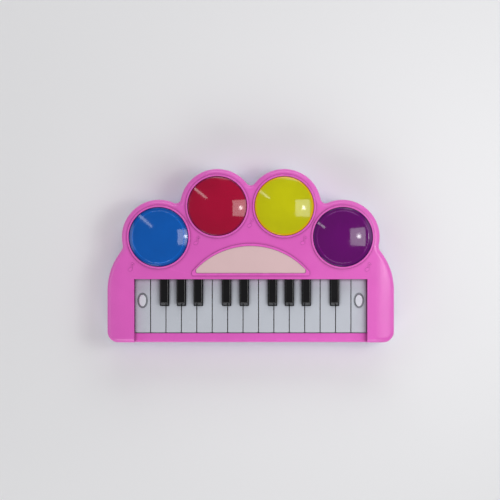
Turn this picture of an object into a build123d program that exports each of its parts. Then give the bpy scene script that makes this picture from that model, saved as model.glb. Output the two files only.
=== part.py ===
"""Toy electronic keyboard: four domed light-up drum pads behind a row of white and black keys.

Millimetres, +Z up, the player sits at -Y. The origin is on the table under the middle of the toy.
"""
import os
from math import cos, pi, radians, sin, sqrt
from build123d import *

os.makedirs("parts", exist_ok=True)

# ---- overall form ----
overall_width = 316.0
overall_depth = 191.0
foot_height = 2.0
split_z = 16.0
panel_z = 39.0
wall = 2.2
skin = 2.4
corner_round = 12.0
edge_round = 6.0
base_round = 3.0
crown_drop = 5.0
shoulder_radius = 68.0
shoulder_turn = 34.5
neck_run = 14.0
neck_round = 9.0
lobe_radius = 41.0
valley_round = 5.5
front_y = -overall_depth / 2
rear_y = overall_depth / 2
half_width = overall_width / 2
crown_flat = half_width - 21.0
roof_z = panel_z - skin
floor_z = foot_height + skin

# ---- drum pads ----
pad_radius = 32.35
pad_outer_x = 101.0
pad_inner_x = 36.75
pad_stagger = 33.9
pad_gap = 0.5
pad_rim_z = 40.5
pad_dome_rise = 7.5
pad_wall = 1.8
pad_skirt_z = 33.0
pad_flange_height = 1.6
pad_flange_out = 2.25
pad_travel = 2.0
collar_width = 2.0
collar_rise = 1.4
pad_inner_y = rear_y - lobe_radius
pad_outer_y = pad_inner_y - pad_stagger
pad_places = {
    "blue": (-pad_outer_x, pad_outer_y),
    "red": (-pad_inner_x, pad_inner_y),
    "yellow": (pad_inner_x, pad_inner_y),
    "purple": (pad_outer_x, pad_outer_y),
}
pad_centres = list(pad_places.values())

# ---- keys ----
key_pitch = 17.0
white_count = 13
key_gap = 0.8
key_wall = 1.4
white_length = 59.0
white_top_z = 31.0
white_bottom_z = 20.0
white_skin = 2.2
black_width = 8.8
black_length = 29.0
black_bottom_z = 22.0
black_slope = 3.0
black_side_gap = 0.6
black_names = ("f1", "g1", "a1", "c1", "d1", "f2", "g2", "a2", "c2")
black_seams = (-5.5, -4.5, -3.5, -1.5, -0.5, 1.5, 2.5, 3.5, 5.5)
black_shift = {"f": -1.5, "g": 0.1, "a": 1.8, "c": -1.1, "d": 1.4}
key_line_y = pad_inner_y - 80.2
shoulder_y = key_line_y - 12.3
key_rear_y = key_line_y + 3.7
white_front_y = key_line_y - white_length
black_front_y = key_line_y - black_length
black_top_z = roof_z
black_centres = [s * key_pitch + black_shift[n[0]] for s, n in zip(black_seams, black_names)]
white_centres = [(i - (white_count - 1) / 2) * key_pitch for i in range(white_count)]
well_half = white_count * key_pitch / 2 + key_pitch + 0.5
rail_y = white_front_y - key_gap
rail_z = 30.5
well_wall = 1.6

# ---- key pivot ----
rod_radius = 1.5
rod_fit = 0.02
key_bore_fit = 0.08
rod_y = key_line_y + 9.7
rod_z = 22.0
hub_radius = 3.2
white_arm = 6.0
black_arm = 5.0
rib_end_x = white_count * key_pitch / 2 - 2.3
rib_xs = (-rib_end_x, -2.5 * key_pitch, 0.5 * key_pitch, 4.5 * key_pitch, rib_end_x)
rib_width = 2.2
rod_half = rib_end_x + 1.4

# ---- key frame, key board and rubber domes ----
frame_z = 10.0
frame_top = 12.0
frame_half = well_half - 2.0
frame_front_y = white_front_y + 0.7
frame_rear_y = rod_y + 4.0
board_thick = 1.6
key_board_top = frame_top + board_thick
key_board_half = frame_half - 2.0
key_board_front_y = black_front_y - 17.3
key_board_rear_y = key_line_y - 4.3
strip_thick = 0.8
dome_height = 4.0
dome_radius = 3.4
dome_top_radius = 2.2
dome_wall = 0.8
dome_top_z = key_board_top + strip_thick + dome_height
white_dome_y = black_front_y - 11.3
black_dome_y = key_line_y - 12.3
guide_y = white_front_y + 6.7
black_guide_y = black_front_y + 4.2
guide_gap = 0.4
post_side = 3.6

# ---- end panels and their oval buttons ----
end_inner_x = white_count * key_pitch / 2 + key_gap / 2
end_outer_x = well_half - 0.4
end_mid_x = (end_inner_x + end_outer_x) / 2
end_skin = 2.0
button_y = key_line_y - 23.6
button_width = 8.0
button_length = 13.0
button_gap = 0.3
button_rise = 1.5
button_travel = 1.2
recess_width = 11.5
recess_length = 17.0
recess_depth = 0.8

# ---- screws ----
small_head_radius = 2.6
small_head_height = 1.4
small_shank_radius = 1.1
small_length = 5.0
thread_fit = 0.02
small_boss_radius = 3.0
large_head_radius = 2.9
large_head_height = 2.0
large_shank_radius = 1.45
large_length = 12.5
large_boss_radius = 3.6
tower_radius = 5.2
joint_z = 12.0
head_seat_z = 8.5
head_gap = 0.4
cheek_screw_x = half_width - 15.0
valley_screw = (pad_outer_x - 25.8, pad_inner_y - 5.0)
casing_screw_places = [(0.0, pad_inner_y + 11.5), valley_screw, (-valley_screw[0], valley_screw[1])]
casing_screw_places += [(x, y) for x in (-cheek_screw_x, cheek_screw_x) for y in (front_y + 15.5, key_line_y - 2.3)]

# ---- pad board ----
pad_board_top = 28.0
pad_board_z = pad_board_top - board_thick
pad_board_radius = 34.4
side_screw = (pad_outer_x - 38.2, pad_outer_y + 5.4)
ear_screw = (pad_outer_x + 30.0, pad_outer_y - 25.6)
pad_screw_places = [(0.0, pad_inner_y - 14.5), side_screw, (-side_screw[0], side_screw[1])]
pad_screw_places += [ear_screw, (-ear_screw[0], ear_screw[1])]

# ---- battery bay ----
cell_radius = 7.25
cell_length = 50.5
cell_pitch = 15.1
cell_count = 3
cell_z = 12.15
cell_first_y = 2.0
cell_nub_radius = 2.7
cell_nub_length = 1.2
spring_length = 4.5
spring_wire = 0.35
spring_radius = 3.4
plate_thick = 0.4
plate_side = 9.0
solder_tab_z = 16.0
solder_tab_reach = 4.6
tab_width = 4.0
tab_fit = 0.2
bay_x_min = -114.15
bay_x_max = bay_x_min + plate_thick + spring_length + cell_length + plate_thick
bay_y_min = -8.9
bay_y_max = cell_first_y + (cell_count - 1) * cell_pitch + cell_radius + 0.45
bay_ceiling = 19.8
bay_wall = 1.6
door_gap = 0.4
door_edge_y = -5.7
door_margin = 0.25
tab_reach = 2.5
tab_height = 1.4
tab_lift = 0.1
ear_x = -88.0
ear_y = 45.5
ear_radius = 5.0
ear_wall = 2.5
door_screw_head = 1.4
door_screw_reach = 6.7
door_thread_gap = 0.3

# ---- main board ----
main_z = 9.0
main_top = main_z + board_thick
main_x = (-44.0, 40.0)
main_y = (2.0, 38.0)
main_screw_inset = 4.0

# ---- speaker ----
speaker_x = pad_outer_x - 15.0
speaker_y = pad_outer_y - 4.6
speaker_radius = 28.5
speaker_lip = 25.0
speaker_seat_z = floor_z + 3.0
speaker_flange = 1.4
speaker_back_z = 14.5
magnet_radius = 15.0
magnet_height = 7.0
grille_rings = 4
grille_pitch = 4.8
grille_hole = 1.5
speaker_screw_radius = 30.6
terminal_reach = 20.0
terminal_z = 15.0

# ---- trim ----
label_width = 129.0
label_height = 35.0
label_y = key_line_y + 4.0
label_border = 2.4
label_rise = 0.8
label_end = 4.0
label_tip_round = 1.8
label_tip_inset = 1.7
sticker_thick = 0.3
sticker_gap = 0.3
foot_radius = 6.0
foot_sink = 0.6
foot_x = half_width - 18.0
foot_places = [(x, y) for x in (-foot_x, foot_x) for y in (front_y + 33.5, key_line_y + 13.7)]
foot_places += [(-30.0, rear_y - 11.5), (30.0, rear_y - 11.5), (0.0, front_y + 11.5)]
note_places = [(-58.5, 17.0), (58.5, 17.0), (0.0, 36.0), (-130.5, -12.0), (129.0, -12.0)]
note_rise = 0.4
wire_radius = 0.6
wire_bend = 2.5


def casing_outline(inset):
    """Plan of the casing: a straight-sided front that narrows into four lobes, drawn in by inset."""
    with BuildSketch() as plan:
        with BuildLine():
            front = Line((0, front_y + inset), (half_width - inset, front_y + inset))
            side = Line(front @ 1, (half_width - inset, shoulder_y))
            shoulder = CenterArc((half_width - shoulder_radius, shoulder_y), shoulder_radius - inset, 0, shoulder_turn)
            neck = Line(shoulder @ 1, shoulder @ 1 + (shoulder % 1) * neck_run)
            Polyline(neck @ 1, (pad_outer_x, pad_outer_y), (pad_inner_x, pad_inner_y), (0, pad_inner_y), front @ 0)
        make_face()
        mirror(about=Plane.YZ)
        with Locations(*pad_centres):
            Circle(lobe_radius - inset)
        neck_y = (shoulder @ 1).Y
        fillet(plan.vertices().filter_by(lambda v: v.Y < front_y + inset + 0.1), corner_round - inset)
        fillet(plan.vertices().filter_by(lambda v: v.Y > pad_outer_y + 20), valley_round + inset)
        fillet(plan.vertices().filter_by(lambda v: neck_y + 1 < v.Y < pad_outer_y), neck_round + inset)
    return plan.sketch


def casing_form(plan, bottom, top, rim_round):
    """The casing plan raised to the panel, with cheeks that fall away to each side and a rounded rim."""
    reach = half_width + 1
    with BuildPart() as form:
        with BuildSketch(Plane.XY.offset(bottom)):
            add(plan)
        extrude(amount=top - bottom)
        with BuildSketch(Plane.XZ.offset(-overall_depth)):
            with BuildLine():
                Line((-crown_flat, top), (crown_flat, top))
                TangentArc([(crown_flat, top), (reach, top - crown_drop)], tangent=(1, 0))
                Polyline((reach, top - crown_drop), (reach, bottom), (-reach, bottom), (-reach, top - crown_drop))
                TangentArc([(-crown_flat, top), (-reach, top - crown_drop)], tangent=(-1, 0))
            make_face()
        extrude(amount=2 * overall_depth, mode=Mode.INTERSECT)
        high = form.edges().filter_by(lambda e: e.bounding_box().min.Z > top - crown_drop - 0.2)
        creases = high.filter_by(lambda e: e.bounding_box().size.X < 0.01 and abs(e.center().X) < half_width - 10)
        fillet([e for e in high if e not in creases], rim_round)
    return form.part


def lens_sketch(inset, tip_round):
    """A flat-bottomed arch, the shape of the raised label frame, drawn in by inset, with rounded tips."""
    half = label_width / 2 - label_tip_inset * inset
    end = inset + label_end
    with BuildSketch() as lens:
        with BuildLine():
            Polyline((-half, end), (-half, inset), (half, inset), (half, end))
            ThreePointArc((half, end), (0, label_height - inset), (-half, end))
        make_face()
        fillet(lens.vertices().group_by(Axis.Y)[0], tip_round)
    return lens.sketch


def screw(head_radius, head_height, shank_radius, length):
    """A pan-head screw standing on the seat of its head: head above the seat, shank below."""
    with BuildPart() as body:
        Cylinder(head_radius, head_height, align=(Align.CENTER, Align.CENTER, Align.MIN))
        fillet(body.edges().sort_by(Axis.Z)[-1], head_height * 0.45)
        with Locations((0, 0, -length)):
            Cylinder(shank_radius, length, align=(Align.CENTER, Align.CENTER, Align.MIN))
        chamfer(body.edges().sort_by(Axis.Z)[0], shank_radius * 0.4)
        with Locations((0, 0, head_height)):
            Box(head_radius * 1.1, 0.5, 1.2, mode=Mode.SUBTRACT)
            Box(0.5, head_radius * 1.1, 1.2, mode=Mode.SUBTRACT)
    return body.part


outer_plan = casing_outline(0)
inner_plan = casing_outline(wall)
lip_plan = casing_outline(wall + 0.15)
lip_inner_plan = casing_outline(wall + 1.35)
label_plane = Plane((0, label_y, panel_z))
lens_outer = lens_sketch(0, 1.5)
lens_inner = lens_sketch(label_border, label_tip_round)
lens_sticker = lens_sketch(label_border + sticker_gap, label_tip_round - sticker_gap)
small_screw = screw(small_head_radius, small_head_height, small_shank_radius, small_length)
large_screw = screw(large_head_radius, large_head_height, large_shank_radius, large_length)
outer_form = casing_form(outer_plan, split_z, panel_z, edge_round)
inner_form = casing_form(inner_plan, split_z, roof_z, edge_round - wall)


def box_between(low, high, mode=Mode.ADD):
    """A box from its low corner to its high corner."""
    with Locations(((low[0] + high[0]) / 2, (low[1] + high[1]) / 2, (low[2] + high[2]) / 2)):
        Box(high[0] - low[0], high[1] - low[1], high[2] - low[2], mode=mode)


# ---- upper casing ----
with BuildPart() as roof_space:
    add(inner_form)
    rail_low = (-well_half - wall, front_y, rail_z - skin)
    box_between(rail_low, (well_half + wall, rail_y + well_wall, panel_z), Mode.SUBTRACT)

with BuildPart() as upper_casing:
    add(outer_form)
    box_between((-well_half, front_y - 1, rail_z), (well_half, rail_y, panel_z + 1), Mode.SUBTRACT)
    rail_edge = upper_casing.edges().filter_by(
        lambda e: e.center().Y < front_y + 0.1 and abs(e.center().Z - rail_z) < 0.1)
    fillet(rail_edge, 2.0)
    add(roof_space.part, mode=Mode.SUBTRACT)
    # walls round the key well
    skirt_z = white_bottom_z - 2
    for x in (-well_half - well_wall, well_half):
        box_between((x, rail_y - well_wall, skirt_z), (x + well_wall, key_line_y + well_wall, roof_z + 1))
    box_between((-well_half, rail_y - well_wall, skirt_z), (well_half, rail_y, rail_z - 1))
    box_between((-well_half, key_line_y, white_top_z), (well_half, key_line_y + well_wall, roof_z + 1))
    # collar and guide sleeve of each drum pad
    with BuildSketch(Plane.XY.offset(pad_skirt_z + pad_flange_height)):
        with Locations(*pad_centres):
            Circle(pad_radius + pad_gap + collar_width)
    extrude(amount=panel_z + collar_rise - pad_skirt_z - pad_flange_height)
    collar_edges = upper_casing.edges().filter_by(lambda e: e.center().Z > panel_z + collar_rise - 0.01)
    fillet(collar_edges, 0.9)
    # raised label frame
    with BuildSketch(label_plane):
        add(lens_outer)
    extrude(amount=label_rise)
    with BuildSketch(label_plane):
        add(lens_inner)
    extrude(amount=label_rise, mode=Mode.SUBTRACT)
    # raised music notes
    with BuildSketch(Plane.XY.offset(panel_z)):
        with Locations(*[(x - 1.6, y - 3.0) for x, y in note_places]):
            Ellipse(2.2, 1.6, rotation=25)
        with Locations(*[(x + 0.2, y + 0.6) for x, y in note_places]):
            Rectangle(0.8, 7.2)
        with Locations(*[(x + 1.4, y + 3.2) for x, y in note_places]):
            Rectangle(3.0, 1.1, rotation=-35)
    extrude(amount=note_rise)
    # screw bosses
    with BuildSketch(Plane.XY.offset(joint_z)):
        with Locations(*casing_screw_places):
            Circle(large_boss_radius)
    extrude(amount=roof_z - joint_z)
    with BuildSketch(Plane.XY.offset(pad_board_top)):
        with Locations(*pad_screw_places):
            Circle(small_boss_radius)
    extrude(amount=roof_z - pad_board_top)
    # openings
    with BuildSketch(Plane.XY.offset(pad_skirt_z)):
        with Locations(*pad_centres):
            Circle(pad_radius + pad_gap)
    extrude(amount=panel_z, mode=Mode.SUBTRACT)
    box_between((-well_half, rail_y, 0), (well_half, key_line_y, panel_z + 1), Mode.SUBTRACT)
    slot_half = black_width / 2 + black_side_gap
    for x in black_centres:
        slot_low = (x - slot_half, key_line_y - 1, 0)
        box_between(slot_low, (x + slot_half, key_line_y + well_wall, roof_z), Mode.SUBTRACT)
    # screw pilots
    with BuildSketch(Plane.XY.offset(joint_z)):
        with Locations(*casing_screw_places):
            Circle(large_shank_radius + thread_fit)
    extrude(amount=large_length, mode=Mode.SUBTRACT)
    with BuildSketch(Plane.XY.offset(pad_board_top)):
        with Locations(*pad_screw_places):
            Circle(small_shank_radius + thread_fit)
    extrude(amount=small_length, mode=Mode.SUBTRACT)
upper_casing.part.label = "upper_casing"
export_step(upper_casing.part, "parts/upper_casing.step")

# ---- lower casing ----
key_screw_places = [(x, black_guide_y) for x in (-6 * key_pitch - 2, *rib_xs[1:4], 6 * key_pitch + 2)]
frame_screw_places = [(x, rod_y) for x in (8.0 - frame_half, 0.0, frame_half - 8.0)]
main_screw_places = [(x, y) for x in (main_x[0] + main_screw_inset, main_x[1] - main_screw_inset)
                     for y in (main_y[0] + main_screw_inset, main_y[1] - main_screw_inset)]
speaker_screw_places = [(speaker_x + speaker_screw_radius * cos(radians(a)),
                         speaker_y + speaker_screw_radius * sin(radians(a))) for a in (90, 210, 330)]
grille_places = [(speaker_x, speaker_y)]
grille_places += [(speaker_x + n * grille_pitch * cos(k * pi / (3 * n)),
                   speaker_y + n * grille_pitch * sin(k * pi / (3 * n)))
                  for n in range(1, grille_rings + 1) for k in range(6 * n)]
opening_x = (bay_x_min + door_margin, bay_x_max - door_margin)

with BuildPart() as lower_casing:
    with BuildSketch(Plane.XY.offset(foot_height)):
        add(outer_plan)
    extrude(amount=split_z - foot_height)
    fillet(lower_casing.edges().group_by(Axis.Z)[0], base_round)
    with BuildSketch(Plane.XY.offset(floor_z)):
        add(inner_plan)
    extrude(amount=split_z, mode=Mode.SUBTRACT)
    # lip that locates the upper casing
    with BuildSketch(Plane.XY.offset(floor_z)):
        add(lip_plan)
        add(lip_inner_plan, mode=Mode.SUBTRACT)
    extrude(amount=split_z + 2 - floor_z)
    # battery bay
    box_between((bay_x_min - bay_wall, bay_y_min - bay_wall, foot_height + 1),
                (bay_x_max + bay_wall, bay_y_max + bay_wall, bay_ceiling + bay_wall))
    box_between((bay_x_min, bay_y_min, floor_z), (bay_x_max, bay_y_max, bay_ceiling), Mode.SUBTRACT)
    with Locations((ear_x, ear_y, foot_height + 1)):
        Cylinder(ear_radius + ear_wall, skin + ear_wall - 1, align=(Align.CENTER, Align.CENTER, Align.MIN))
    box_between((opening_x[0], door_edge_y, 0), (opening_x[1], bay_y_max, floor_z + 0.1), Mode.SUBTRACT)
    with Locations((ear_x, ear_y, 0)):
        Cylinder(ear_radius + door_gap, floor_z, align=(Align.CENTER, Align.CENTER, Align.MIN), mode=Mode.SUBTRACT)
        Cylinder(large_shank_radius + door_thread_gap, 2 * floor_z, align=(Align.CENTER, Align.CENTER, Align.MIN),
                 mode=Mode.SUBTRACT)
    box_between((ear_x - ear_radius - door_gap, bay_y_max - 1, 0), (ear_x + ear_radius + door_gap, ear_y, floor_z),
                Mode.SUBTRACT)
    # slots for the two solder tabs
    slot_half = tab_width / 2 + tab_fit
    slot_bottom = solder_tab_z - tab_fit
    slot_top = solder_tab_z + plate_thick + tab_fit
    box_between((bay_x_max - 1, cell_first_y - slot_half, slot_bottom),
                (bay_x_max + 3, cell_first_y + slot_half, slot_top), Mode.SUBTRACT)
    last_y = cell_first_y + (cell_count - 1) * cell_pitch
    box_between((bay_x_min - 3, last_y - slot_half, slot_bottom),
                (bay_x_min + 1, last_y + slot_half, slot_top), Mode.SUBTRACT)
    # screw towers for the casing
    with BuildSketch(Plane.XY.offset(floor_z)):
        with Locations(*casing_screw_places):
            Circle(tower_radius)
    extrude(amount=joint_z - floor_z)
    with BuildSketch():
        with Locations(*casing_screw_places):
            Circle(large_head_radius + head_gap)
    extrude(amount=head_seat_z, mode=Mode.SUBTRACT)
    with BuildSketch():
        with Locations(*casing_screw_places):
            Circle(large_shank_radius + 0.15)
    extrude(amount=split_z, mode=Mode.SUBTRACT)
    # bosses for the key frame, the main board and the speaker
    with BuildSketch(Plane.XY.offset(floor_z)):
        with Locations(*key_screw_places, *frame_screw_places):
            Circle(small_boss_radius)
    extrude(amount=frame_z - floor_z)
    with BuildSketch(Plane.XY.offset(floor_z)):
        with Locations(*main_screw_places):
            Circle(small_boss_radius)
    extrude(amount=main_z - floor_z)
    with BuildSketch(Plane.XY.offset(floor_z)):
        with Locations((speaker_x, speaker_y)):
            Circle(speaker_radius)
            Circle(speaker_lip, mode=Mode.SUBTRACT)
    extrude(amount=speaker_seat_z - floor_z)
    with BuildSketch(Plane.XY.offset(floor_z)):
        with Locations(*speaker_screw_places):
            Circle(speaker_screw_radius - speaker_radius - 0.2)
    extrude(amount=speaker_seat_z + speaker_flange - floor_z)
    with BuildSketch(Plane.XY.offset(foot_height + 1.4)):
        with Locations(*key_screw_places, *frame_screw_places, *main_screw_places, *speaker_screw_places):
            Circle(small_shank_radius + thread_fit)
    extrude(amount=split_z, mode=Mode.SUBTRACT)
    # speaker grille and foot recesses
    with BuildSketch():
        with Locations(*grille_places):
            Circle(grille_hole)
    extrude(amount=floor_z + 1, mode=Mode.SUBTRACT)
    with BuildSketch():
        with Locations(*foot_places):
            Circle(foot_radius + 0.1)
    extrude(amount=foot_height + foot_sink, mode=Mode.SUBTRACT)
lower_casing.part.label = "lower_casing"
export_step(lower_casing.part, "parts/lower_casing.step")

# ---- battery door and its captive screw ----
door_x = (opening_x[0] + door_gap, opening_x[1] - door_gap)
door_y = (door_edge_y + door_gap, bay_y_max - door_gap)
with BuildPart() as battery_door:
    box_between((door_x[0], door_y[0], foot_height), (door_x[1], door_y[1], floor_z))
    with Locations((ear_x, ear_y, foot_height)):
        Cylinder(ear_radius, skin, align=(Align.CENTER, Align.CENTER, Align.MIN))
    box_between((ear_x - ear_radius, door_y[1] - 1, foot_height), (ear_x + ear_radius, ear_y, floor_z))
    for x in (door_x[0] + 12, door_x[1] - 12):
        box_between((x - 5, door_y[0], floor_z), (x + 5, door_y[0] + 1.5, floor_z + tab_lift + tab_height))
        box_between((x - 5, door_edge_y - tab_reach, floor_z + tab_lift),
                    (x + 5, door_y[0] + 0.5, floor_z + tab_lift + tab_height))
    # finger grooves on the outside
    for n in range(5):
        y = door_y[1] - 4 - 3 * n
        box_between((ear_x - 12, y - 0.6, foot_height - 1), (ear_x + 12, y + 0.6, foot_height + 0.6), Mode.SUBTRACT)
    with Locations((ear_x, ear_y, foot_height)):
        Cylinder(large_head_radius, door_screw_head + 0.1, align=(Align.CENTER, Align.CENTER, Align.MIN),
                 mode=Mode.SUBTRACT)
        Cylinder(large_shank_radius + 0.1, skin, align=(Align.CENTER, Align.CENTER, Align.MIN), mode=Mode.SUBTRACT)
battery_door.part.label = "battery_door"
export_step(battery_door.part, "parts/battery_door.step")

door_seat_z = foot_height + door_screw_head + 0.1
door_bolt = screw(small_head_radius, door_screw_head, large_shank_radius, door_screw_reach - door_seat_z)
with BuildPart() as battery_door_screw:
    with Locations(Location((ear_x, ear_y, door_seat_z), (180, 0, 0))):
        add(door_bolt)
battery_door_screw.part.label = "battery_door_screw"
export_step(battery_door_screw.part, "parts/battery_door_screw.step")

# ---- batteries and contacts ----
cell_rows = [(cell_first_y + n * cell_pitch, 1 if n % 2 == 0 else -1) for n in range(cell_count)]
bay_mid_x = (bay_x_min + bay_x_max) / 2
with BuildPart() as cell:
    Cylinder(cell_radius, cell_length - cell_nub_length, rotation=(0, 90, 0),
             align=(Align.CENTER, Align.CENTER, Align.MIN))
    fillet(cell.edges(), 0.6)
    with Locations((cell_length - cell_nub_length, 0, 0)):
        Cylinder(cell_nub_radius, cell_nub_length, rotation=(0, 90, 0), align=(Align.CENTER, Align.CENTER, Align.MIN))
with BuildPart() as batteries:
    for y, way in cell_rows:
        start = bay_mid_x - way * (cell_length + spring_length) / 2 + way * spring_length
        with Locations(Location((start, y, cell_z), (0, 0, 0 if way > 0 else 180))):
            add(cell.part)
batteries.part.label = "batteries"
export_step(batteries.part, "parts/batteries.step")

coil = Helix(pitch=(spring_length - 2 * spring_wire - 0.1) / 3, height=spring_length - 2 * spring_wire - 0.1,
             radius=spring_radius)
with BuildPart() as spring:
    with BuildLine():
        add(coil)
    with BuildSketch(Plane(origin=coil @ 0, z_dir=coil % 0)):
        Circle(spring_wire)
    sweep()
with BuildPart() as battery_contacts:
    for y, way in cell_rows:
        back = bay_mid_x - way * (bay_x_max - bay_x_min) / 2
        front = bay_mid_x + way * (bay_x_max - bay_x_min) / 2
        coil_start = back + way * (plate_thick + spring_wire + 0.05)
        with Locations(Location((coil_start, y, cell_z), (0, 90 * way, 0))):
            add(spring.part)
        for x in (back + way * plate_thick / 2, front - way * plate_thick / 2):
            with Locations((x, y, cell_z)):
                Box(plate_thick, plate_side, plate_side)
    half_tab = tab_width / 2
    solder_top = solder_tab_z + plate_thick
    box_between((bay_x_max - plate_thick, cell_first_y - half_tab, solder_tab_z),
                (bay_x_max + solder_tab_reach, cell_first_y + half_tab, solder_top))
    box_between((bay_x_min - solder_tab_reach, last_y - half_tab, solder_tab_z),
                (bay_x_min + plate_thick, last_y + half_tab, solder_top))
battery_contacts.part.label = "battery_contacts"
export_step(battery_contacts.part, "parts/battery_contacts.step")

# ---- feet and casing screws ----
with BuildPart() as feet:
    with Locations(*[(x, y, 0) for x, y in foot_places]):
        Cylinder(foot_radius, foot_height + foot_sink, align=(Align.CENTER, Align.CENTER, Align.MIN))
    fillet(feet.edges().group_by(Axis.Z)[0], 0.8)
feet.part.label = "feet"
export_step(feet.part, "parts/feet.step")

with BuildPart() as casing_screws:
    with Locations(*[Location((x, y, head_seat_z), (180, 0, 0)) for x, y in casing_screw_places]):
        add(large_screw)
casing_screws.part.label = "casing_screws"
export_step(casing_screws.part, "parts/casing_screws.step")

# ---- key frame with its pivot ribs and key guides ----
guide_width = key_pitch - key_gap - 2 * key_wall - 2 * guide_gap
black_guide_width = black_width - 2 * key_wall - 2 * guide_gap
with BuildPart() as key_frame:
    box_between((-frame_half, frame_front_y, frame_z), (frame_half, frame_rear_y, frame_top))
    for x in rib_xs:
        box_between((x - rib_width / 2, rod_y - 4, frame_top), (x + rib_width / 2, rod_y + 4, rod_z + hub_radius))
    for x in white_centres:
        box_between((x - guide_width / 2, guide_y - 2, frame_top), (x + guide_width / 2, guide_y + 2, 24))
    for x in black_centres:
        box_between((x - black_guide_width / 2, black_guide_y - 2, frame_top),
                    (x + black_guide_width / 2, black_guide_y + 2, 27))
    with Locations((0, rod_y, rod_z)):
        Cylinder(rod_radius + rod_fit, overall_width, rotation=(0, 90, 0), mode=Mode.SUBTRACT)
    with BuildSketch(Plane.XY.offset(frame_z)):
        with Locations(*key_screw_places, *frame_screw_places):
            Circle(small_shank_radius + 0.2)
    extrude(amount=frame_top - frame_z, mode=Mode.SUBTRACT)
key_frame.part.label = "key_frame"
export_step(key_frame.part, "parts/key_frame.step")

with BuildPart() as pivot_rod:
    with Locations((0, rod_y, rod_z)):
        Cylinder(rod_radius, 2 * rod_half, rotation=(0, 90, 0))
    chamfer(pivot_rod.edges().filter_by(GeomType.CIRCLE), 0.3)
pivot_rod.part.label = "pivot_rod"
export_step(pivot_rod.part, "parts/pivot_rod.step")

# ---- key board and rubber contact domes ----
with BuildPart() as key_board:
    box_between((-key_board_half, key_board_front_y, frame_top), (key_board_half, key_board_rear_y, key_board_top))
    for x in black_centres:
        with Locations((x, black_guide_y, key_board_top)):
            Box(black_guide_width + 1.2, 5.2, 4 * board_thick, mode=Mode.SUBTRACT)
    with BuildSketch(Plane.XY.offset(frame_top)):
        with Locations(*key_screw_places):
            Circle(small_shank_radius + 0.2)
    extrude(amount=board_thick, mode=Mode.SUBTRACT)
key_board.part.label = "key_board"
export_step(key_board.part, "parts/key_board.step")

with BuildPart() as dome:
    with BuildSketch(Plane.XZ):
        with BuildLine():
            Polyline((dome_radius - dome_wall, 0), (dome_radius, 0), (dome_top_radius, dome_height), (0, dome_height),
                     (0, dome_height - dome_wall), (dome_top_radius - dome_wall, dome_height - dome_wall), close=True)
        make_face()
    revolve(axis=Axis.Z)
white_dome_places = [(x, white_dome_y) for x in white_centres]
black_dome_places = [(x, black_dome_y) for x in black_centres]
button_places = [(-end_mid_x, button_y), (end_mid_x, button_y)]
with BuildPart() as contact_strip:
    strip_z = key_board_top + strip_thick / 2
    with Locations((0, white_dome_y, strip_z), (0, black_dome_y, strip_z)):
        Box(2 * white_centres[-1] + 10, 10, strip_thick)
    with Locations(*[(x, y, strip_z) for x, y in button_places]):
        Box(9, 10, strip_thick)
    with Locations(*[(x, y, strip_z) for x, y in white_dome_places + black_dome_places + button_places]):
        Cylinder(dome_radius - dome_wall, 2 * strip_thick, mode=Mode.SUBTRACT)
    with Locations(*[(x, y, key_board_top + strip_thick)
                     for x, y in white_dome_places + black_dome_places + button_places]):
        add(dome.part)
contact_strip.part.label = "contact_strip"
export_step(contact_strip.part, "parts/contact_strip.step")


# ---- keys ----
def key_tail(centre):
    """Left and right edges of a white key beside the black keys, as distances from the key's centre."""
    low = -key_pitch / 2 + key_gap / 2
    high = key_pitch / 2 - key_gap / 2
    for x in black_centres:
        if -key_pitch < x - centre < 0:
            low = x - centre + black_width / 2 + black_side_gap
        if 0 < x - centre < key_pitch:
            high = x - centre - black_width / 2 - black_side_gap
    return low, high


def white_key(centre):
    """A hollow white key with its dome post, arm and hub."""
    low, high = key_tail(centre)
    side = key_pitch / 2 - key_gap / 2
    step_y = black_front_y - black_side_gap
    with BuildPart() as key:
        box_between((-side, white_front_y, white_bottom_z), (side, step_y, white_top_z))
        box_between((low, step_y, white_bottom_z), (high, key_rear_y, white_top_z))
        fillet(key.edges().filter_by(Axis.Z).group_by(Axis.Y)[0], 1.0)
        fillet(key.faces().sort_by(Axis.Z)[-1].edges(), 0.5)
        box_between((-side + key_wall, white_front_y + key_wall, white_bottom_z),
                    (side - key_wall, step_y - key_wall, white_top_z - white_skin), Mode.SUBTRACT)
        box_between((low + key_wall, step_y - key_wall, white_bottom_z),
                    (high - key_wall, key_rear_y - key_wall, white_top_z - white_skin), Mode.SUBTRACT)
        box_between((-post_side / 2, white_dome_y - post_side / 2, dome_top_z),
                    (post_side / 2, white_dome_y + post_side / 2, white_top_z - 1))
        add_pivot_arm(max(low, -white_arm / 2), min(high, white_arm / 2))
    return key.part


def add_pivot_arm(low, high):
    """The arm that joins a key to its hub on the pivot rod, added to the key being built."""
    box_between((low, key_rear_y - 0.5, rod_z - 2), (high, rod_y, rod_z + hub_radius - 0.4))
    with Locations(((low + high) / 2, rod_y, rod_z)):
        Cylinder(hub_radius, high - low, rotation=(0, 90, 0))
        Cylinder(rod_radius + key_bore_fit, 2 * (high - low), rotation=(0, 90, 0), mode=Mode.SUBTRACT)


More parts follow.
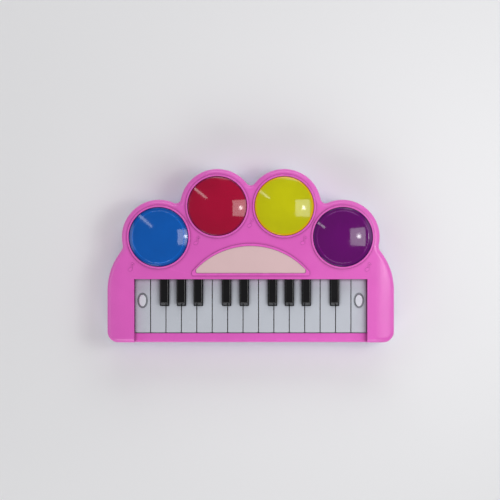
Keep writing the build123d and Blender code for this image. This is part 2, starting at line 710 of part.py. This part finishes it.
def black_key():
    """A hollow black key with a sloping front, its dome post, arm and hub."""
    half = black_width / 2
    with BuildPart() as key:
        with BuildSketch(Plane.YZ.offset(-half)):
            with BuildLine():
                Polyline((black_front_y, black_bottom_z), (black_front_y, white_top_z + 1),
                         (black_front_y + black_slope, black_top_z), (key_rear_y, black_top_z),
                         (key_rear_y, black_bottom_z), close=True)
            make_face()
        extrude(amount=black_width)
        crest = key.edges().filter_by(Axis.Y).group_by(Axis.Z)[-1]
        nose = key.edges().filter_by(lambda e: e.center().Y < black_front_y + black_slope + 0.1
                                     and e.bounding_box().min.Z > white_top_z - 0.1)
        fillet([e for e in nose if e not in crest] + list(crest), 1.1)
        box_between((-half + key_wall, black_front_y + key_wall, black_bottom_z),
                    (half - key_wall, key_rear_y - key_wall, white_top_z), Mode.SUBTRACT)
        box_between((-half + key_wall + 0.4, black_front_y + key_wall + 2, white_top_z - 1),
                    (half - key_wall - 0.4, key_rear_y - key_wall, black_top_z - 2), Mode.SUBTRACT)
        box_between((-post_side / 2, black_dome_y - post_side / 2, dome_top_z),
                    (post_side / 2, black_dome_y + post_side / 2, black_top_z - 1))
        add_pivot_arm(-black_arm / 2, black_arm / 2)
    return key.part


for number, centre in enumerate(white_centres, 1):
    white_form = white_key(centre)
    with BuildPart() as key:
        with Locations((centre, 0, 0)):
            add(white_form)
    key.part.label = f"white_key_{number:02d}"
    export_step(key.part, f"parts/white_key_{number:02d}.step")

black_form = black_key()
for number, centre in enumerate(black_centres, 1):
    with BuildPart() as key:
        with Locations((centre, 0, 0)):
            add(black_form)
    key.part.label = f"black_key_{number:02d}"
    export_step(key.part, f"parts/black_key_{number:02d}.step")

# ---- end panels and oval buttons ----
for side, node in ((-1, "left"), (1, "right")):
    with BuildPart() as end_panel:
        x_low = min(side * end_inner_x, side * end_outer_x)
        x_high = max(side * end_inner_x, side * end_outer_x)
        box_between((x_low, white_front_y, white_bottom_z), (x_high, key_rear_y, white_top_z))
        fillet(end_panel.faces().sort_by(Axis.Z)[-1].edges(), 0.5)
        box_between((x_low + key_wall, white_front_y + key_wall, 0),
                    (x_high - key_wall, key_rear_y - key_wall, white_top_z - end_skin), Mode.SUBTRACT)
        for x in (x_low + 3, x_high - 3):
            for y in (white_front_y + 5, key_rear_y - 5):
                box_between((x - 1.6, y - 1.6, frame_top), (x + 1.6, y + 1.6, white_top_z - 1))
        with BuildSketch(Plane.XY.offset(white_top_z - recess_depth)):
            with Locations((side * end_mid_x, button_y)):
                Ellipse(recess_width / 2, recess_length / 2)
        extrude(amount=recess_depth, mode=Mode.SUBTRACT)
        with BuildSketch(Plane.XY.offset(white_bottom_z)):
            with Locations((side * end_mid_x, button_y)):
                Ellipse(button_width / 2 + button_gap, button_length / 2 + button_gap)
        extrude(amount=white_top_z, mode=Mode.SUBTRACT)
    end_panel.part.label = f"{node}_end_panel"
    export_step(end_panel.part, f"parts/{node}_end_panel.step")

    with BuildPart() as button:
        flange_z = white_top_z - end_skin
        with BuildSketch(Plane.XY.offset(flange_z - 1.4)):
            with Locations((side * end_mid_x, button_y)):
                Ellipse(button_width / 2 + 1.2, button_length / 2 + 1.2)
        extrude(amount=1.4)
        with BuildSketch(Plane.XY.offset(flange_z)):
            with Locations((side * end_mid_x, button_y)):
                Ellipse(button_width / 2, button_length / 2)
        extrude(amount=white_top_z + button_rise - flange_z)
        fillet(button.edges().group_by(Axis.Z)[-1], 1.0)
        with Locations((side * end_mid_x, button_y, (dome_top_z + flange_z - 1) / 2)):
            Box(post_side, post_side, flange_z - 1 - dome_top_z)
    button.part.label = f"{node}_button"
    export_step(button.part, f"parts/{node}_button.step")

# ---- drum pads and their rubber rings ----
dome_sphere = (pad_radius ** 2 + pad_dome_rise ** 2) / (2 * pad_dome_rise)
with BuildPart() as pad_form:
    apex = pad_rim_z + pad_dome_rise
    inner = pad_radius - pad_wall
    inner_rim_z = apex - dome_sphere + sqrt((dome_sphere - pad_wall) ** 2 - inner ** 2)
    with BuildSketch(Plane.XZ) as pad_section:
        with BuildLine():
            top = RadiusArc((0, apex), (pad_radius, pad_rim_z), dome_sphere)
            Polyline((pad_radius, pad_rim_z), (pad_radius, pad_skirt_z + pad_flange_height),
                     (pad_radius + pad_flange_out, pad_skirt_z + pad_flange_height),
                     (pad_radius + pad_flange_out, pad_skirt_z), (inner, pad_skirt_z),
                     (inner, inner_rim_z))
            RadiusArc((inner, inner_rim_z), (0, apex - pad_wall), pad_wall - dome_sphere)
            Line((0, apex - pad_wall), (0, apex))
        make_face()
        rim = pad_section.vertices().filter_by(lambda v: abs(v.X - pad_radius) < 0.01 and v.Y > pad_rim_z - 0.1)
        fillet(rim, 1.2)
    revolve(axis=Axis.Z)
for colour, (x, y) in pad_places.items():
    with BuildPart() as drum_pad:
        with Locations((x, y, 0)):
            add(pad_form.part)
    drum_pad.part.label = f"drum_pad_{colour}"
    export_step(drum_pad.part, f"parts/drum_pad_{colour}.step")

foot_inner = pad_radius - 1.75
foot_outer = pad_radius + 1.55
head_inner = pad_radius - 1.35
head_outer = pad_radius + 1.65
web_foot = pad_radius - 0.15
ring_web = 1.0
foot_top = pad_board_top + ring_web
head_bottom = pad_skirt_z - ring_web
with BuildPart() as ring:
    with BuildSketch(Plane.XZ):
        with BuildLine():
            Polyline((foot_inner, pad_board_top), (foot_outer, pad_board_top), (foot_outer, foot_top),
                     (web_foot + ring_web, foot_top), (head_outer, head_bottom), (head_outer, pad_skirt_z),
                     (head_inner, pad_skirt_z), (head_inner, head_bottom), (head_outer - ring_web, head_bottom),
                     (web_foot, foot_top), (foot_inner, foot_top), close=True)
        make_face()
    revolve(axis=Axis.Z)
with BuildPart() as pad_rings:
    with Locations(*[(x, y, 0) for x, y in pad_centres]):
        add(ring.part)
pad_rings.part.label = "pad_rings"
export_step(pad_rings.part, "parts/pad_rings.step")

# ---- pad board and its lamps ----
with BuildPart() as pad_board:
    with BuildSketch(Plane.XY.offset(pad_board_z)):
        with Locations(*pad_centres):
            Circle(pad_board_radius)
        with BuildLine():
            Polyline(*pad_centres, (side_screw[0], pad_outer_y - 0.6), (0, pad_inner_y - 20.5),
                     (-side_screw[0], pad_outer_y - 0.6), close=True)
        make_face()
        for a, b in ((pad_centres[0], pad_screw_places[4]), (pad_centres[3], pad_screw_places[3])):
            with BuildLine():
                Line(a, b)
            trace(line_width=11)
        with Locations(*pad_screw_places):
            Circle(5)
        with Locations(*pad_screw_places):
            Circle(small_shank_radius + 0.2, mode=Mode.SUBTRACT)
    extrude(amount=board_thick)
pad_board.part.label = "pad_board"
export_step(pad_board.part, "parts/pad_board.step")

with BuildPart() as pad_lamps:
    with Locations(*[(x, y, pad_board_top) for x, y in pad_centres]):
        Box(6, 6, 1.2, align=(Align.CENTER, Align.CENTER, Align.MIN))
        Cylinder(2.5, 3.6, align=(Align.CENTER, Align.CENTER, Align.MIN))
    fillet(pad_lamps.edges().group_by(Axis.Z)[-1], 2.0)
pad_lamps.part.label = "pad_lamps"
export_step(pad_lamps.part, "parts/pad_lamps.step")

# ---- main board and what stands on it ----
with BuildPart() as main_board:
    box_between((main_x[0], main_y[0], main_z), (main_x[1], main_y[1], main_top))
    with BuildSketch(Plane.XY.offset(main_z)):
        with Locations(*main_screw_places):
            Circle(small_shank_radius + 0.2)
    extrude(amount=board_thick, mode=Mode.SUBTRACT)
main_board.part.label = "main_board"
export_step(main_board.part, "parts/main_board.step")

with BuildPart() as board_components:
    with Locations((-4, 24, main_top)):
        Cylinder(7, 1.6, align=(Align.CENTER, Align.CENTER, Align.MIN))
    fillet(board_components.edges().group_by(Axis.Z)[-1], 1.2)
    with Locations((-26, 26, main_top), (24, 12, main_top)):
        Cylinder(3, 8, align=(Align.CENTER, Align.CENTER, Align.MIN))
    with Locations((18, 25, main_top), (-24, 12, main_top)):
        Box(10, 6, 1.6, align=(Align.CENTER, Align.CENTER, Align.MIN))
board_components.part.label = "board_components"
export_step(board_components.part, "parts/board_components.step")

# ---- the small screws that hold frame, boards and speaker ----
screw_spots = [(x, y, key_board_top, 0) for x, y in key_screw_places]
screw_spots += [(x, y, frame_top, 0) for x, y in frame_screw_places]
screw_spots += [(x, y, main_top, 0) for x, y in main_screw_places]
screw_spots += [(x, y, speaker_seat_z + speaker_flange, 0) for x, y in speaker_screw_places]
screw_spots += [(x, y, pad_board_z, 180) for x, y in pad_screw_places]
with BuildPart() as board_screws:
    with Locations(*[Location((x, y, z), (turn, 0, 0)) for x, y, z, turn in screw_spots]):
        add(small_screw)
board_screws.part.label = "board_screws"
export_step(board_screws.part, "parts/board_screws.step")

# ---- speaker, facing the grille in the floor ----
cone_rim_z = speaker_seat_z + speaker_flange
with BuildPart() as speaker_frame:
    with BuildSketch(Plane.XZ):
        with BuildLine():
            Polyline((speaker_lip, speaker_seat_z), (speaker_radius, speaker_seat_z), (speaker_radius, cone_rim_z),
                     (speaker_radius - 2, cone_rim_z), (magnet_radius + 1, speaker_back_z),
                     (0, speaker_back_z), (0, speaker_back_z - 1), (magnet_radius, speaker_back_z - 1),
                     (speaker_lip, cone_rim_z), close=True)
        make_face()
    revolve(axis=Axis.Z)
    box_between((-terminal_reach - 2.5, -7, terminal_z - 3), (-terminal_reach + 2.5, 7, terminal_z))
with BuildPart() as speaker_cone:
    with BuildSketch(Plane.XZ):
        with BuildLine():
            Polyline((speaker_lip, speaker_seat_z), (speaker_lip, speaker_seat_z + 0.6),
                     (speaker_lip - 3, speaker_seat_z + 0.8), (9, speaker_back_z - 2.4), (0, speaker_back_z - 2.4),
                     (0, speaker_back_z - 3), (8.8, speaker_back_z - 3), (speaker_lip - 3, speaker_seat_z), close=True)
        make_face()
    revolve(axis=Axis.Z)
    with Locations((0, 0, speaker_back_z - 2.4)):
        Cylinder(8, 1.4, align=(Align.CENTER, Align.CENTER, Align.MIN))
with BuildPart() as speaker_magnet:
    with Locations((0, 0, speaker_back_z)):
        Cylinder(magnet_radius, magnet_height, align=(Align.CENTER, Align.CENTER, Align.MIN))
    fillet(speaker_magnet.edges().group_by(Axis.Z)[-1], 0.8)
speaker_pieces = {"speaker_frame": speaker_frame, "speaker_cone": speaker_cone}
speaker_pieces["speaker_magnet"] = speaker_magnet
for node, body in speaker_pieces.items():
    with BuildPart() as placed:
        with Locations((speaker_x, speaker_y, 0)):
            add(body.part)
    placed.part.label = node
    export_step(placed.part, f"parts/{node}.step")

# ---- label sticker ----
with BuildPart() as label_sticker:
    with BuildSketch(label_plane):
        add(lens_sticker)
    extrude(amount=sticker_thick)
label_sticker.part.label = "label_sticker"
export_step(label_sticker.part, "parts/label_sticker.step")


# ---- inner wires ----
def wire(points):
    """A round wire along straight runs joined by arcs."""
    run = FilletPolyline(*points, radius=wire_bend)
    with BuildPart() as lead:
        with BuildLine():
            add(run)
        with BuildSketch(Plane(origin=run @ 0, z_dir=run % 0)):
            Circle(wire_radius)
        sweep()
    return lead.part


tab_top = solder_tab_z + plate_thick
red_battery = wire([(bay_x_max + 3.4, cell_first_y, tab_top), (bay_x_max + 3.4, cell_first_y, 23),
                    (main_x[0] + 3, cell_first_y, 23), (main_x[0] + 3, 13, 23), (main_x[0] + 3, 13, main_top)])
black_battery = wire([(bay_x_min - 3.4, last_y, tab_top), (bay_x_min - 3.4, last_y, 23.4),
                      (main_x[0] + 3, last_y, 23.4), (main_x[0] + 3, 24, 23.4), (main_x[0] + 3, 24, main_top)])
terminal_x = speaker_x - terminal_reach
red_speaker = wire([(terminal_x, speaker_y - 4, terminal_z), (terminal_x, speaker_y - 4, 22),
                    (main_x[1] - 3, speaker_y - 4, 22), (main_x[1] - 3, speaker_y - 4, main_top)])
black_speaker = wire([(terminal_x, speaker_y + 4, terminal_z), (terminal_x, speaker_y + 4, 22),
                      (main_x[1] - 3, speaker_y + 4, 22), (main_x[1] - 3, speaker_y + 4, main_top)])
with BuildPart() as red_wires:
    add(red_battery)
    add(red_speaker)
red_wires.part.label = "red_wires"
export_step(red_wires.part, "parts/red_wires.step")
with BuildPart() as black_wires:
    add(black_battery)
    add(black_speaker)
black_wires.part.label = "black_wires"
export_step(black_wires.part, "parts/black_wires.step")

ribbon_width = 8.0
ribbon_thick = 0.6
with BuildPart() as ribbon_cables:
    with BuildSketch(Plane.YZ.offset(-ribbon_width / 2)):
        with BuildLine():
            FilletPolyline((key_board_rear_y - 1, key_board_top), (key_board_rear_y - 1, 17), (6, 17), (6, main_top),
                           radius=wire_bend)
        trace(line_width=ribbon_thick)
    extrude(amount=ribbon_width)
    with BuildSketch(Plane.YZ.offset(20)):
        with BuildLine():
            FilletPolyline((35, main_top), (35, 18), (43, 18), (43, pad_board_z), radius=wire_bend)
        trace(line_width=ribbon_thick)
    extrude(amount=ribbon_width)
ribbon_cables.part.label = "ribbon_cables"
export_step(ribbon_cables.part, "parts/ribbon_cables.step")
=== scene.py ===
import bpy
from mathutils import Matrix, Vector


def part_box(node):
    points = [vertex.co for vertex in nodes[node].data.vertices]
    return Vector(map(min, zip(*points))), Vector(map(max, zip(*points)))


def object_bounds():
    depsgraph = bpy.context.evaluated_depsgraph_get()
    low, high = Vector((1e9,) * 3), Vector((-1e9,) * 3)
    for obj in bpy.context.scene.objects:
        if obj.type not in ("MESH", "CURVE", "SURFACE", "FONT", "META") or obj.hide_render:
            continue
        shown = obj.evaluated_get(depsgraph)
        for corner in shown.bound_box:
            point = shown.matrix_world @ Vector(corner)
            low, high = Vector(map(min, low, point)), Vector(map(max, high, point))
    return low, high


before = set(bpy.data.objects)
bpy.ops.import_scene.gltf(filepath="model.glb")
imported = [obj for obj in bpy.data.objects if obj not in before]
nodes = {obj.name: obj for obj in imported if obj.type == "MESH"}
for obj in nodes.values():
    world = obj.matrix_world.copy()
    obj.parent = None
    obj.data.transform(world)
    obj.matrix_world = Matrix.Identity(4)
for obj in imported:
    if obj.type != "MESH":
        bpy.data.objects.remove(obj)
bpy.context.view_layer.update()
pad_low, pad_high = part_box("drum_pad_red")
flange_reach = 0.00225
DOME_RADIUS = (pad_high[0] - pad_low[0]) / 2 - flange_reach
# reach of the painted shade in corners and between parts, in metres
PAINTED_SHADE_REACH = 0.004
FACE_HEIGHT = 0.039


def linear(r, g, b):
    """Colour picked in 0-255 sRGB as the linear values the shaders use."""
    out = []
    for v in (r, g, b):
        c = v / 255
        out.append(c / 12.92 if c <= 0.04045 else ((c + 0.055) / 1.055) ** 2.4)
    return (out[0], out[1], out[2], 1.0)


class Shader:
    """A small helper that builds one material's node tree."""

    def __init__(self, name):
        self.material = bpy.data.materials.new(name)
        self.material.use_nodes = True
        self.tree = self.material.node_tree
        self.bsdf = self.tree.nodes["Principled BSDF"]
        self.place = self.tree.nodes.new("ShaderNodeTexCoord").outputs["Object"]

    def node(self, kind, **values):
        """A new node with the given settings."""
        made = self.tree.nodes.new(kind)
        for key, value in values.items():
            setattr(made, key, value)
        return made

    def link(self, a, b):
        self.tree.links.new(a, b)

    def noise(self, scale, detail=4.0, rough=0.55, stretch=None):
        """A noise value over the object's own coordinates, in metres."""
        made = self.node("ShaderNodeTexNoise")
        made.inputs["Scale"].default_value = scale
        made.inputs["Detail"].default_value = detail
        made.inputs["Roughness"].default_value = rough
        place = self.place
        if stretch:
            mapping = self.node("ShaderNodeMapping")
            mapping.inputs["Scale"].default_value = stretch
            self.link(place, mapping.inputs["Vector"])
            place = mapping.outputs["Vector"]
        self.link(place, made.inputs["Vector"])
        return made.outputs["Fac"]

    def ramp(self, value, stops, smooth=True):
        """A colour or grey ramp from (position, colour) stops."""
        made = self.node("ShaderNodeValToRGB")
        made.color_ramp.interpolation = "EASE" if smooth else "LINEAR"
        bar = made.color_ramp.elements
        while len(bar) < len(stops):
            bar.new(0.5)
        for element, (at, colour) in zip(bar, stops):
            element.position = at
            element.color = colour if hasattr(colour, "__len__") else (colour, colour, colour, 1.0)
        self.link(value, made.inputs["Fac"])
        return made.outputs["Color"]

    def mix(self, factor, a, b, how="MIX"):
        """Mixes two colours; each may be a socket or a colour."""
        made = self.node("ShaderNodeMix", data_type="RGBA", blend_type=how)
        for socket, value in ((made.inputs[0], factor), (made.inputs[6], a), (made.inputs[7], b)):
            if isinstance(value, bpy.types.NodeSocket):
                self.link(value, socket)
            else:
                socket.default_value = value
        return made.outputs[2]

    def math(self, how, a, b=0.5):
        """One sum on two values; each may be a socket or a number."""
        made = self.node("ShaderNodeMath", operation=how)
        for socket, value in zip(made.inputs, (a, b)):
            if isinstance(value, bpy.types.NodeSocket):
                self.link(value, socket)
            else:
                socket.default_value = value
        return made.outputs[0]

    def bump(self, height, distance, strength=1.0, normal=None):
        """A normal that follows a height value, on top of another normal if one is given."""
        made = self.node("ShaderNodeBump")
        made.inputs["Strength"].default_value = strength
        made.inputs["Distance"].default_value = distance
        self.link(height, made.inputs["Height"])
        if normal is not None:
            self.link(normal, made.inputs["Normal"])
        return made.outputs["Normal"]

    def edges(self):
        """Brighter on worn outer edges: from the mesh's own pointiness."""
        geometry = self.node("ShaderNodeNewGeometry")
        return self.ramp(geometry.outputs["Pointiness"], [(0.505, 0.0), (0.56, 1.0)])

    def painted_shade(self, depth):
        """Painted shade: darker in the inner corners and between close parts, from an ambient-occlusion value.
        """
        hollow = self.node("ShaderNodeAmbientOcclusion", samples=8)
        hollow.inputs["Distance"].default_value = PAINTED_SHADE_REACH
        return self.ramp(hollow.outputs["AO"], [(0.45, 1 - depth), (0.97, 1.0)], False)

    def finish(self, colour=None, roughness=None, normal=None, **constants):
        for socket, value in (("Base Color", colour), ("Roughness", roughness)):
            if isinstance(value, bpy.types.NodeSocket):
                self.link(value, self.bsdf.inputs[socket])
            elif value is not None:
                self.bsdf.inputs[socket].default_value = value
        if normal is not None:
            self.link(normal, self.bsdf.inputs["Normal"])
        for key, value in constants.items():
            self.bsdf.inputs[key.replace("_", " ")].default_value = value
        return self.material


def shade(colour, factor):
    """A colour made lighter or darker by a factor."""
    return (min(colour[0] * factor, 1), min(colour[1] * factor, 1), min(colour[2] * factor, 1), 1.0)


def moulded(name, colour, rough=0.3, coat=0.0, grain=0.00002, wear=0.25, tone=0.08, painted_shade_depth=0.35):
    """Injection-moulded plastic: tone drift, faint grain, lighter rubbed edges and painted shade darkening the
    inner corners.
    """
    s = Shader(name)
    drift = s.ramp(s.noise(14, 3), [(0.3, shade(colour, 1 - tone)), (0.7, shade(colour, 1 + tone))])
    speck = s.ramp(s.noise(900, 2), [(0.3, shade(colour, 0.93)), (0.7, shade(colour, 1.05))])
    base = s.mix(0.3, drift, speck)
    pale = shade(colour, 1.35)
    worn = s.math("MULTIPLY", s.edges(), s.ramp(s.noise(120, 5, 0.7), [(0.4, 0.0), (0.62, wear)]))
    base = s.mix(worn, base, pale)
    # painted shade: inner corners and the feet of raised parts are darkened in the colour itself
    base = s.mix(1.0, base, s.painted_shade(painted_shade_depth), "MULTIPLY")
    gloss = s.ramp(s.noise(45, 6, 0.65), [(0.3, rough * 0.8), (0.7, rough * 1.25)])
    fine = s.bump(s.noise(2600, 2), grain, 0.5)
    sink = s.bump(s.noise(35, 2), 0.00012, 0.25, fine)
    return s.finish(base, gloss, sink, Coat_Weight=coat, Coat_Roughness=0.08, IOR=1.5)


def tinted(name, node, colour, edge, line=0.0, rough=0.07):
    """Coloured lamp dome: deep colour, an edge band of another tone and a faint moulded circle."""
    s = Shader(name)
    low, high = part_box(node)
    centre = ((low[0] + high[0]) / 2, (low[1] + high[1]) / 2, 0)
    away = s.node("ShaderNodeVectorMath", operation="SUBTRACT")
    away.inputs[1].default_value = centre
    s.link(s.place, away.inputs[0])
    flat = s.node("ShaderNodeVectorMath", operation="MULTIPLY")
    flat.inputs[1].default_value = (1 / DOME_RADIUS, 1 / DOME_RADIUS, 0)
    s.link(away.outputs[0], flat.inputs[0])
    reach = s.node("ShaderNodeVectorMath", operation="LENGTH")
    s.link(flat.outputs[0], reach.inputs[0])
    radius = reach.outputs["Value"]
    cloud = s.ramp(s.noise(22, 3), [(0.25, shade(colour, 0.93)), (0.75, shade(colour, 1.07))])
    base = s.mix(s.ramp(radius, [(0.925, 0.0), (0.975, 1.0)]), cloud, edge)
    ring = s.ramp(radius, [(0.858, 0.0), (0.868, line), (0.878, line), (0.888, 0.0)])
    broken = s.ramp(s.noise(55, 3), [(0.42, 0.35), (0.55, 1.0)])
    base = s.mix(s.math("MULTIPLY", ring, broken), base, shade(colour, 2.2))
    gloss = s.ramp(s.noise(60, 6, 0.7), [(0.35, rough * 0.7), (0.7, rough * 2.0)])
    scuff = s.bump(s.noise(700, 5, 0.7, (1, 6, 1)), 0.000006, 0.3)
    normal = s.bump(ring, 0.0002, 0.5, s.bump(s.noise(30, 2), 0.00015, 0.15, scuff))
    return s.finish(base, gloss, normal, IOR=1.5)


def steel(name, colour=(0.55, 0.55, 0.56, 1.0), rough=0.32):
    """Plated or bare steel with fine drawn lines and a few dull spots."""
    s = Shader(name)
    lines = s.noise(900, 4, 0.6, (0.05, 1, 1))
    base = s.ramp(lines, [(0.3, shade(colour, 0.8)), (0.7, shade(colour, 1.15))])
    spots = s.ramp(s.noise(160, 6, 0.7), [(0.58, 0.0), (0.7, 0.6)])
    base = s.mix(spots, base, shade(colour, 0.45))
    gloss = s.ramp(s.noise(300, 4), [(0.3, rough * 0.7), (0.7, rough * 1.4)])
    return s.finish(base, gloss, s.bump(lines, 0.00001, 0.5), Metallic=1.0)


def rubber(name, colour, rough=0.75):
    """Soft rubber with a matt, slightly dusty skin."""
    s = Shader(name)
    dust = s.ramp(s.noise(90, 6, 0.7), [(0.35, colour), (0.75, shade(colour, 1.6))])
    gloss = s.ramp(s.noise(200, 4), [(0.3, rough * 0.85), (0.7, min(rough * 1.15, 1.0))])
    return s.finish(dust, gloss, s.bump(s.noise(1500, 3), 0.00004, 0.6))


def board(name, colour=linear(150, 112, 62)):
    """Phenolic circuit board with faint fibre and darker tracks."""
    s = Shader(name)
    fibre = s.ramp(s.noise(500, 5, 0.6, (1, 0.15, 1)), [(0.3, shade(colour, 0.8)), (0.7, shade(colour, 1.15))])
    wave = s.node("ShaderNodeTexWave", wave_type="BANDS", bands_direction="DIAGONAL")
    wave.inputs["Scale"].default_value = 70
    wave.inputs["Distortion"].default_value = 6
    s.link(s.place, wave.inputs["Vector"])
    tracks = s.ramp(wave.outputs["Fac"], [(0.7, 0.0), (0.74, 0.7)])
    base = s.mix(tracks, fibre, linear(70, 84, 40))
    return s.finish(base, 0.5, s.bump(tracks, 0.00003, 0.6))


def paper(name, colour, rough=0.6):
    """Plain paper or card: faint fibres and a soft cast."""
    s = Shader(name)
    fibre = s.ramp(s.noise(1200, 6, 0.65, (1, 2.5, 1)), [(0.3, shade(colour, 0.96)), (0.7, shade(colour, 1.04))])
    cast = s.ramp(s.noise(25, 2), [(0.3, shade(colour, 0.97)), (0.7, shade(colour, 1.03))])
    return s.finish(s.mix(0.5, fibre, cast), rough, s.bump(s.noise(1500, 4), 0.000012, 0.4))


pink = moulded("pink_casing", linear(228, 98, 196), 0.34, 0.1, tone=0.05, painted_shade_depth=0.6)
lilac = moulded("lilac_casing", linear(205, 194, 240), 0.4, 0.0, grain=0.00004, tone=0.04)
ivory = moulded("white_plastic", linear(196, 200, 209), 0.22, 0.2, wear=0.1, tone=0.03, painted_shade_depth=0.6)
ebony = moulded("black_plastic", linear(7, 6, 9), 0.2, 0.1, wear=0.3, tone=0.15)
button_white = moulded("button_plastic", linear(220, 222, 230), 0.2, 0.3, wear=0.1, tone=0.03)
frame_plastic = moulded("frame_plastic", linear(200, 199, 194), 0.5)
zinc = steel("zinc_steel")
nickel = steel("nickel_plate", (0.66, 0.64, 0.58, 1.0), 0.22)
magnet = steel("magnet_ferrite", (0.12, 0.12, 0.13, 1.0), 0.5)
feet = rubber("foot_rubber", linear(46, 46, 50))
silicone = rubber("silicone", linear(176, 176, 180), 0.55)
circuit = board("circuit_board")
chip = moulded("chip_resin", linear(16, 16, 18), 0.25)
sleeve = moulded("cell_sleeve", linear(40, 92, 70), 0.25, 0.3)
lamp = moulded("lamp_resin", linear(232, 232, 226), 0.12, 0.3)
pulp = paper("cone_pulp", linear(40, 40, 42), 0.85)
label = paper("label_paper", linear(222, 190, 192), 0.42)
red_wire = moulded("red_wire", linear(190, 24, 24), 0.4)
black_wire = moulded("black_wire", linear(18, 18, 20), 0.4)
grey_ribbon = moulded("grey_ribbon", linear(160, 160, 165), 0.5)
basket = moulded("basket_paint", linear(60, 60, 64), 0.4)
pads = {
    "blue": tinted("pad_blue", "drum_pad_blue", linear(0, 88, 178), linear(0, 62, 150), 0.5),
    "red": tinted("pad_red", "drum_pad_red", linear(166, 0, 50), linear(140, 0, 60)),
    "yellow": tinted("pad_yellow", "drum_pad_yellow", linear(196, 194, 0), linear(228, 170, 10)),
    "purple": tinted("pad_purple", "drum_pad_purple", linear(96, 0, 102), linear(78, 0, 96), 0.5),
}
finishes = {
    "upper_casing": pink, "lower_casing": lilac, "battery_door": lilac, "battery_door_screw": zinc,
    "casing_screws": zinc, "board_screws": zinc, "pivot_rod": zinc, "batteries": sleeve,
    "battery_contacts": nickel, "feet": feet, "key_frame": frame_plastic, "key_board": circuit,
    "pad_board": circuit, "main_board": circuit, "board_components": chip, "contact_strip": silicone,
    "pad_rings": silicone, "pad_lamps": lamp, "left_end_panel": ivory, "right_end_panel": ivory,
    "left_button": button_white, "right_button": button_white, "speaker_frame": basket,
    "speaker_cone": pulp, "speaker_magnet": magnet, "label_sticker": label, "red_wires": red_wire,
    "black_wires": black_wire, "ribbon_cables": grey_ribbon,
}
for colour, material in pads.items():
    finishes["drum_pad_" + colour] = material
for name, obj in nodes.items():
    if name.startswith("white_key"):
        material = ivory
    elif name.startswith("black_key"):
        material = ebony
    else:
        material = finishes[name]
    for slot in obj.material_slots:
        slot.material = material

# floor, light and camera
low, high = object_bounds()
bpy.ops.mesh.primitive_plane_add(size=6.0, location=(0, 0, low[2]))
floor = bpy.context.object
floor.name = "floor"
ground = Shader("floor_pale")
ground.finish(linear(236, 236, 238), 0.9)
floor.data.materials.append(ground.material)


def softbox(name, place, aim, width, height, power):
    """A white rectangular area light that looks at aim; power is in watts."""
    lamp_data = bpy.data.lights.new(name, "AREA")
    lamp_data.shape = "RECTANGLE"
    lamp_data.size = width
    lamp_data.size_y = height
    lamp_data.energy = power
    obj = bpy.data.objects.new(name, lamp_data)
    bpy.context.scene.collection.objects.link(obj)
    obj.location = place
    obj.rotation_euler = (Vector(aim) - Vector(place)).to_track_quat("-Z", "Y").to_euler()


middle = (0, 0.02, 0.03)
softbox("key_light", (0.437, 0.03, 0.60), middle, 0.36, 0.34, 1.4)
softbox("hot_spot", (0.46, 0.04, 0.59), middle, 0.07, 0.07, 0.3)
softbox("strip_light", (-0.42, 0.36, 0.60), middle, 0.05, 0.42, 0.3)
softbox("front_light", (-0.2, -1.3, 0.72), middle, 1.6, 0.6, 11.0)
softbox("right_light", (1.3, 0.3, 0.62), middle, 1.2, 0.6, 2.2)
softbox("left_light", (-1.3, 0.0, 0.62), middle, 1.2, 0.6, 3.0)
softbox("rear_light", (0.2, 1.3, 0.66), middle, 1.6, 0.6, 8.5)

world = bpy.data.worlds.new("studio")
world.use_nodes = True
world.node_tree.nodes["Background"].inputs["Color"].default_value = (1, 1, 1, 1)
world.node_tree.nodes["Background"].inputs["Strength"].default_value = 0.2
bpy.context.scene.world = world

camera_data = bpy.data.cameras.new("camera")
camera = bpy.data.objects.new("camera", camera_data)
bpy.context.scene.collection.objects.link(camera)
view_distance = 1.3
view_width = 0.548
sensor_width = 36.0
camera_data.sensor_width = sensor_width
camera_data.lens = sensor_width * view_distance / view_width
camera.location = (-0.0008, 0.0063, FACE_HEIGHT + view_distance)
camera_data.clip_start = 0.05
camera_data.clip_end = 20
bpy.context.scene.camera = camera
bpy.context.scene.view_settings.view_transform = "Standard"
